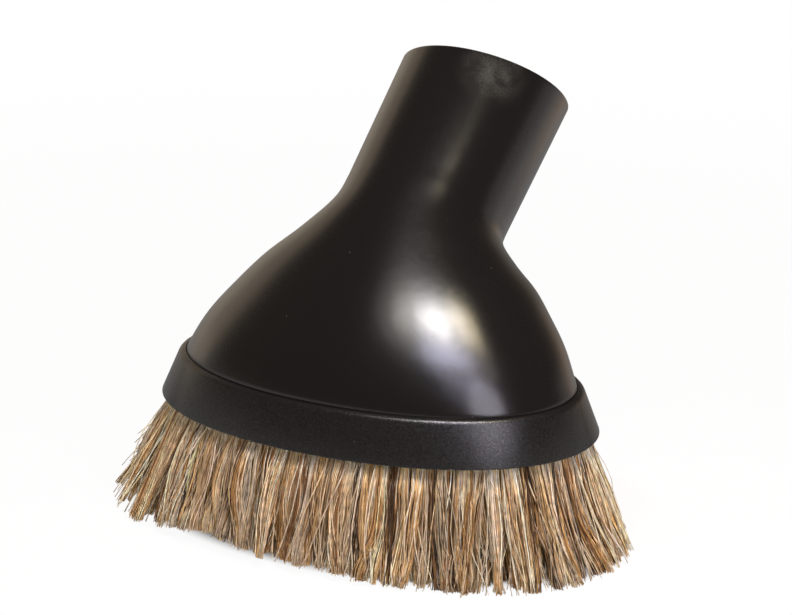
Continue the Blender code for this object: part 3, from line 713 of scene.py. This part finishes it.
def make_bunch(name, first, last, wisps, look, chance):
    """One slice of the hair ring: its glued root pack and every hair in it as a thin three-sided strand."""
    lines, tones, radii = hair_lines(first, last, wisps, chance)
    count = len(lines)
    heading = np.gradient(lines, axis=1)
    heading /= np.linalg.norm(heading, axis=2, keepdims=True)
    side = np.cross(heading, (0.0, 0.0, 1.0))
    side /= np.linalg.norm(side, axis=2, keepdims=True)
    other = np.cross(heading, side)
    turn = chance.uniform(0, 2 * math.pi, count)[:, None] + 2 * math.pi * np.arange(HAIR_SIDES) / HAIR_SIDES
    taper = np.linspace(1, HAIR_TIP_SHARE, HAIR_RINGS)[None, :, None, None]
    radius = radii[:, None, None, None] * taper
    spoke = (side[:, :, None] * np.cos(turn)[:, None, :, None]
             + other[:, :, None] * np.sin(turn)[:, None, :, None])
    strands = (lines[:, :, None] + spoke * radius).reshape(-1, 3)

    level = np.arange(HAIR_RINGS - 1)[:, None] * HAIR_SIDES
    corner = np.arange(HAIR_SIDES)
    beside = (corner + 1) % HAIR_SIDES
    quads = np.stack([level + corner, level + beside, level + HAIR_SIDES + beside, level + HAIR_SIDES + corner],
                     axis=-1).reshape(-1, 4)
    start = np.arange(count)[:, None, None] * HAIR_RINGS * HAIR_SIDES
    faces = (quads + start).reshape(-1, 4).tolist()
    top = (HAIR_RINGS - 1) * HAIR_SIDES + corner
    faces += (np.stack([corner[::-1], top]) + start).reshape(-1, HAIR_SIDES).tolist()

    shares = np.linspace(first, last, PACK_STEPS + 1)[:, None] + np.zeros(4)
    box = np.array([slanted(PACK_INNER, PACK_BOTTOM), slanted(PACK_OUTER, PACK_BOTTOM),
                    slanted(PACK_OUTER, PACK_TOP), slanted(PACK_INNER, PACK_TOP)])
    pack = beside_oval(shares, box[:, 0], box[:, 1]).reshape(-1, 3)
    base = len(strands)
    for step in range(PACK_STEPS):
        for i in range(4):
            here, after = base + step * 4 + i, base + step * 4 + (i + 1) % 4
            faces.append((here, here + 4, after + 4, after))
    faces.append(tuple(base + i for i in range(4)))
    faces.append(tuple(base + PACK_STEPS * 4 + i for i in reversed(range(4))))

    bunch = new_piece(name, np.concatenate([strands, pack]).tolist(), faces, look)
    # A power of the darkness makes a hair paler and keeps its hue: painted light near the roots, in the hem's shade,
    # and paler tips.
    along = np.interp(np.linspace(0, 1, HAIR_RINGS), ROOT_LIGHT_AND_TIP_SHARES, ROOT_LIGHT_AND_TIP_GAINS)[None, :, None, None]
    shown = 1 - (1 - tones[:, None, None]) ** along + np.zeros((1, 1, HAIR_SIDES, 1))
    shown = shown.reshape(-1, 3)
    shown = np.concatenate([shown, np.tile(linear(ROOT_TONE)[:3], (len(pack), 1))])
    tone = bunch.data.color_attributes.new("hair_tone", "FLOAT_COLOR", "POINT")
    tone.data.foreach_set("color", np.concatenate([shown, np.ones((len(shown), 1))], axis=1).ravel())
    bunch.data.shade_smooth()
    return bunch


# Studio
# Lamps: name, azimuth and elevation seen from the brush and tilt in degrees, distance, width, height, watts, colour
LAMPS = (
    ("bare_bulb", 30.8, 64.8, -3, 0.30, 0.100, 0.024, 0.208, "#ffffff"),
    ("bulb_halo", 4.4, 63.5, 21, 0.30, 0.095, 0.039, 0.092, "#fffaf2"),
    ("white_strip", 50.1, 65.4, -7, 0.30, 0.128, 0.022, 0.222, "#fff8f0"),
    ("warm_strip", 73.6, 62.3, -30, 0.30, 0.090, 0.034, 0.126, "#ffeec6"),
    ("sky_strip", 38.9, 57.2, -3, 0.30, 0.161, 0.032, 0.162, "#dfdfff"),
    ("ceiling", 43.2, 48.3, -25, 0.30, 0.161, 0.084, 0.097, "#e6e3ff"),
    ("wall", 50.8, 34.1, -23, 0.30, 0.218, 0.074, 0.042, "#e9e6ff"),
    ("room_glow", 36.0, 62.0, -18, 0.30, 0.361, 0.128, 0.159, "#fff8f4"),
    ("side_window", 58, 29, 0, 1.00, 0.40, 0.62, 2.7, "#f6f0ff"),
    ("back_window", -125, 12, 0, 1.40, 1.60, 0.95, 5.3, "#ffe9cc"),
    ("low_window", -106, 2, 0, 1.40, 0.54, 0.34, 0.28, "#ffe9cc"),
    ("door_light", 180, 9, 0, 1.40, 0.80, 0.50, 0.16, "#ffd49a"),
    ("warm_board", 167, -3, 0, 0.26, 0.100, 0.066, 0.018, "#ffc890"),
)
ROOM_LIGHT = 0.2
# The lamps' ways are seen from the front of the dome's right shoulder, where the photograph's glow lies.
AIM = Vector((0.02, -0.026, 0.05))


def direction(azimuth, elevation):
    """The unit way from the brush for an azimuth from its front, towards its right, and an elevation."""
    azimuth, elevation = math.radians(azimuth), math.radians(elevation)
    return Vector((math.sin(azimuth) * math.cos(elevation), -math.cos(azimuth) * math.cos(elevation),
                   math.sin(elevation)))


def hang_lamps():
    """The oval soft lamps, turned to the brush. The camera doesn't see them."""
    for name, azimuth, elevation, tilt, distance, width, height, watts, colour in LAMPS:
        light = bpy.data.lights.new(name, "AREA")
        light.shape = "ELLIPSE"
        light.size = width
        light.size_y = height
        light.energy = watts
        light.color = linear(colour)[:3]
        lamp = bpy.data.objects.new(name, light)
        bpy.context.scene.collection.objects.link(lamp)
        lamp.location = AIM + direction(azimuth, elevation) * distance
        facing = direction(azimuth, elevation).to_track_quat("Z", "Y").to_matrix()
        lamp.rotation_euler = (facing @ Matrix.Rotation(math.radians(tilt), 3, "Z")).to_euler()
        lamp.visible_camera = False


def light_room():
    """The rest of the room: an even, slightly warm light from every side."""
    world = bpy.data.worlds.new("room")
    world.use_nodes = True
    air = world.node_tree.nodes["Background"]
    air.inputs["Color"].default_value = linear("#ffeedb")
    air.inputs["Strength"].default_value = ROOM_LIGHT
    bpy.context.scene.world = world


# The sweep paper's looks change by the distance from the middle of the brush, as (from, to) in metres: the paper
# under the brush inside the ring of hair tips, the paper under the hair itself, the brush's shadow, and the far paper.
# The first two are measured with the ring's width stretched to its length.
RING_EDGE, RING_SQUASH = (48 * MM, 56 * MM), 1.5
CONTACT_EDGE, CONTACT_SQUASH = (57 * MM, 64 * MM), 1.35
SHADOW_FADE = (0.12, 0.45)
FAR_FADE = (0.65, 2.0)
# How much of the lit paper is seen inside the ring, under the hair and beside the brush. The rest is plain white.
LIT_INSIDE, LIT_UNDER_HAIR, LIT_BESIDE = 1.0, 0.34, 0.06


def matt_white_paper():
    """Matt white sweep paper, uncoated: evenly pale, with a soft shadow by the brush and no gloss.

    It lights the brush as real paper does, is mostly plain white to look at, and dims a little far off.
    """
    look = bpy.data.materials.new("matt_white_paper")
    look.use_nodes = True
    tree = look.node_tree
    tree.nodes.clear()
    place = add(tree, "ShaderNodeTexCoord").outputs["Object"]
    away = add(tree, "ShaderNodeVectorMath", {"operation": "LENGTH"}, {0: place})
    far = add(tree, "ShaderNodeMapRange", {"interpolation_type": "SMOOTHSTEP"},
              {"Value": away.outputs["Value"], "From Min": FAR_FADE[0], "From Max": FAR_FADE[1]})
    tint = add(tree, "ShaderNodeMix", {"data_type": "RGBA"},
               {0: far.outputs["Result"], 6: linear("#ffffff"), 7: linear("#d2ccc3")})
    plain = add(tree, "ShaderNodeEmission", None, {"Color": tint.outputs[2], "Strength": 1.0})
    lit = add(tree, "ShaderNodeBsdfDiffuse", None, {"Color": linear("#ffffff")})
    oval = add(tree, "ShaderNodeVectorMath", {"operation": "MULTIPLY"}, {0: place, 1: (1.0, CONTACT_SQUASH, 1.0)})
    from_hair = add(tree, "ShaderNodeVectorMath", {"operation": "LENGTH"}, {0: oval.outputs["Vector"]})
    in_ring = add(tree, "ShaderNodeVectorMath", {"operation": "MULTIPLY_ADD"},
                  {0: place, 1: (1.0, RING_SQUASH, 1.0), 2: (0.0, -STAND.y * RING_SQUASH, 0.0)})
    from_middle = add(tree, "ShaderNodeVectorMath", {"operation": "LENGTH"}, {0: in_ring.outputs["Vector"]})
    inside = add(tree, "ShaderNodeMapRange", None,
                 {"Value": from_middle.outputs["Value"], "From Min": RING_EDGE[0], "From Max": RING_EDGE[1],
                  "To Min": LIT_INSIDE, "To Max": LIT_UNDER_HAIR})
    contact = add(tree, "ShaderNodeMapRange", None,
                  {"Value": from_hair.outputs["Value"], "From Min": CONTACT_EDGE[0], "From Max": CONTACT_EDGE[1],
                   "To Min": inside.outputs["Result"], "To Max": LIT_BESIDE})
    fade = add(tree, "ShaderNodeMapRange", None,
               {"Value": away.outputs["Value"], "From Min": SHADOW_FADE[0], "From Max": SHADOW_FADE[1],
                "To Min": 1.0, "To Max": 0.0})
    lit_share = add(tree, "ShaderNodeMath", {"operation": "MULTIPLY"},
                    {0: contact.outputs["Result"], 1: fade.outputs["Result"]})
    shown = add(tree, "ShaderNodeMixShader", None,
                {0: lit_share.outputs[0], 1: plain.outputs[0], 2: lit.outputs[0]})
    path = add(tree, "ShaderNodeLightPath")
    seen = add(tree, "ShaderNodeMath", {"operation": "ADD"},
               {0: path.outputs["Is Camera Ray"], 1: path.outputs["Is Glossy Ray"]})
    seen = add(tree, "ShaderNodeMath", {"operation": "ADD", "use_clamp": True},
               {0: seen.outputs[0], 1: path.outputs["Is Transmission Ray"]})
    sheet = add(tree, "ShaderNodeBsdfDiffuse", None, {"Color": linear("#e6e3de")})
    both = add(tree, "ShaderNodeMixShader", None, {0: seen.outputs[0], 1: sheet.outputs[0], 2: shown.outputs[0]})
    add(tree, "ShaderNodeOutputMaterial", None, {"Surface": both.outputs[0]})
    return look


def lay_floor():
    """A round sheet of sweep paper that curves up at its far edge."""
    flat, rim, rise, bends, turns = 2.4, 3.2, 0.55, 12, 96
    profile = [Vector((0, 0, 0)), Vector((flat, 0, 0))]
    for step in range(1, bends + 1):
        turn = math.pi / 2 * step / bends
        profile.append(Vector((flat + (rim - flat) * math.sin(turn), 0, rise * (1 - math.cos(turn)))))
    work = bmesh.new()
    points = [work.verts.new(place) for place in profile]
    edges = [work.edges.new(pair) for pair in zip(points, points[1:])]
    bmesh.ops.spin(work, geom=points + edges, axis=(0, 0, 1), cent=(0, 0, 0), angle=2 * math.pi, steps=turns,
                   use_merge=True)
    bmesh.ops.remove_doubles(work, verts=work.verts, dist=WELD_DISTANCE)
    bmesh.ops.recalc_face_normals(work, faces=work.faces)
    mesh = bpy.data.meshes.new("sweep_paper")
    work.to_mesh(mesh)
    work.free()
    mesh.materials.append(matt_white_paper())
    mesh.shade_smooth()
    floor = bpy.data.objects.new("sweep_paper", mesh)
    bpy.context.scene.collection.objects.link(floor)


# Camera: its way from the brush, its roll, and where the picture's middle lies beside the aim, worked out from the
# photograph's ovals
PICTURE_WIDTH = 792
CAMERA_AZIMUTH, CAMERA_ELEVATION, CAMERA_ROLL = 26.38, 16.52, math.radians(1.9)
CAMERA_DISTANCE = 658.976 * MM
CAMERA_RIGHT, CAMERA_UP = 2.796 * MM, -7.66 * MM
CAMERA_AIM_HEIGHT = 30 * MM
PIXELS_PER_METRE = 4856
SENSOR_WIDTH = 36.0


def place_camera():
    """The camera at the photograph's viewing angle, with its frame's middle where the photograph has it."""
    back = direction(CAMERA_AZIMUTH, CAMERA_ELEVATION)
    level = Vector((0, 0, 1)).cross(back).normalized()
    rise = back.cross(level)
    right = level * math.cos(CAMERA_ROLL) + rise * math.sin(CAMERA_ROLL)
    up = rise * math.cos(CAMERA_ROLL) - level * math.sin(CAMERA_ROLL)
    lens = bpy.data.cameras.new("camera")
    lens.sensor_width = SENSOR_WIDTH
    lens.lens = PIXELS_PER_METRE * CAMERA_DISTANCE / PICTURE_WIDTH * SENSOR_WIDTH
    lens.clip_start, lens.clip_end = 0.01, 20
    camera = bpy.data.objects.new("camera", lens)
    bpy.context.scene.collection.objects.link(camera)
    aim = STAND + Vector((0, 0, CAMERA_AIM_HEIGHT))
    camera.location = aim + right * CAMERA_RIGHT + up * CAMERA_UP + back * CAMERA_DISTANCE
    camera.rotation_euler = Matrix((right, up, back)).transposed().to_euler()
    bpy.context.scene.camera = camera


def dress_brush():
    """Every piece in its finish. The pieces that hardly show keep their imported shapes."""
    shell_look = moulded_black_abs(
        "moulded_black_abs", "#0c090a", smooth_gloss=0.175, dull_gloss=0.22, rim_sheen=0.145,
        peel_depth=0.01 * MM, grain_depth=0.006 * MM, speck_strength=0.1, rub_and_sheen=0.13)
    skirt_look = moulded_black_abs(
        "moulded_black_abs_dull", "#0f0d0e", smooth_gloss=0.23, dull_gloss=0.35, rim_sheen=0.07,
        peel_depth=0.012 * MM, grain_depth=0.028 * MM, speck_strength=0.3)
    clamp_look = moulded_black_abs(
        "moulded_black_abs_hidden", "#111010", smooth_gloss=0.45, dull_gloss=0.55, rim_sheen=0.1,
        peel_depth=0.01 * MM, grain_depth=0.03 * MM, speck_strength=0.3)
    seat(make_dome_and_neck(shell_look), "shell_plastic", "body_shell")
    seat(make_skirt(skirt_look), "band_plastic", "skirt_band")
    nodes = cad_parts
    hidden = (("clamp_ring", clamp_look), ("strip_channel", galvanised_steel()), ("core_wire", drawn_steel()))
    for node, look in hidden:
        nodes[node].material_slots[0].material = look
    hair_look = natural_horsehair()
    chance = np.random.default_rng(SEED)
    wisps = draw_wisps(chance)
    end_share = CHANNEL_END_GAP / OVAL_LENGTH / HAIR_GAP_PART
    span = (1 - 2 * end_share) / HAIR_BUNCHES
    for index in range(HAIR_BUNCHES):
        number = f"{index + 1:02d}"
        first = end_share + span * index
        bunch = make_bunch("hair_bunch_" + number, first, first + span, wisps, hair_look, chance)
        seat(bunch, "natural_hair", "hair_" + number)


dress_brush()
hang_lamps()
light_room()
lay_floor()
place_camera()
bpy.context.scene.view_settings.view_transform = "Standard"
